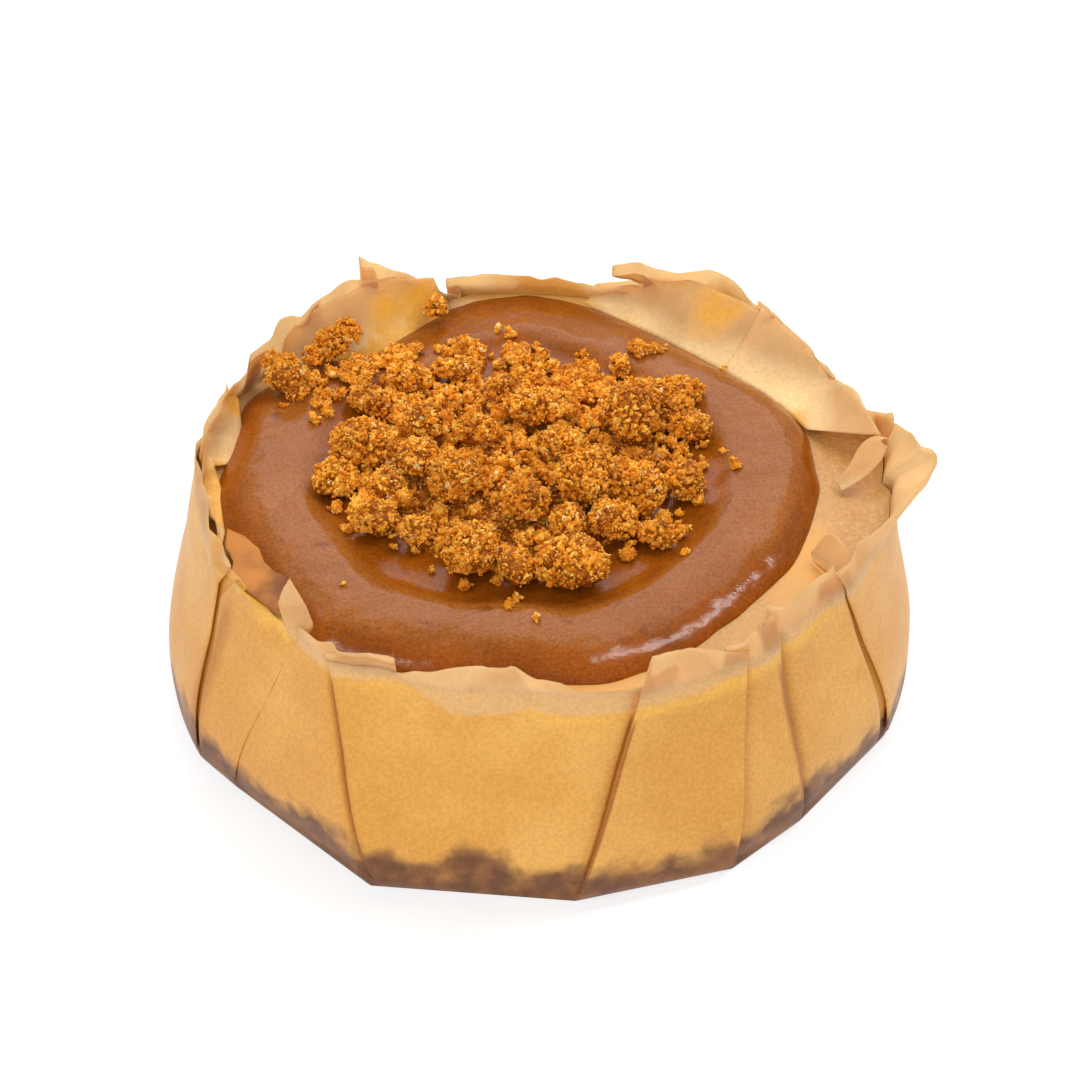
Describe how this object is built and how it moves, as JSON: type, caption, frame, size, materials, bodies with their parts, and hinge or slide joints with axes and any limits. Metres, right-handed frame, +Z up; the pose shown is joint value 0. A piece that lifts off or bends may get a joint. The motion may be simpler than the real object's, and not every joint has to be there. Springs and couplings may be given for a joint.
{
  "type": "mini speculoos cheesecake",
  "caption": "Small round cheesecake on a biscuit base in a pleated baking paper case, topped with caramel biscuit spread and a heap of biscuit crumbs.",
  "frame": {"origin": "centre of the paper case's flat underside, on the surface that it stands on", "axes": "+Z up; -Y is the front, towards the wide plain panel of the case; +X to the right, where the bare edge of the cheesecake shows"},
  "size_m": [0.1022, 0.0976, 0.0424],
  "materials": {
    "baking_paper": "waxy, translucent, stained amber by the cake behind it",
    "biscuit": "matte pressed biscuit crumb",
    "cheesecake": "smooth baked cream, slightly shiny",
    "caramel": "glossy thick spread",
    "crumbs": "matte sugary crumb"
  },
  "bodies": {
    "root": {"paper_case": "baking_paper", "biscuit_base": "biscuit", "cheesecake": "cheesecake", "caramel_spread": "caramel", "crumb_heap": "crumbs", "crumb_clump_left": "crumbs", "crumb_clump_back_left": "crumbs", "crumb_clump_back": "crumbs"}
  },
  "joints": []
}
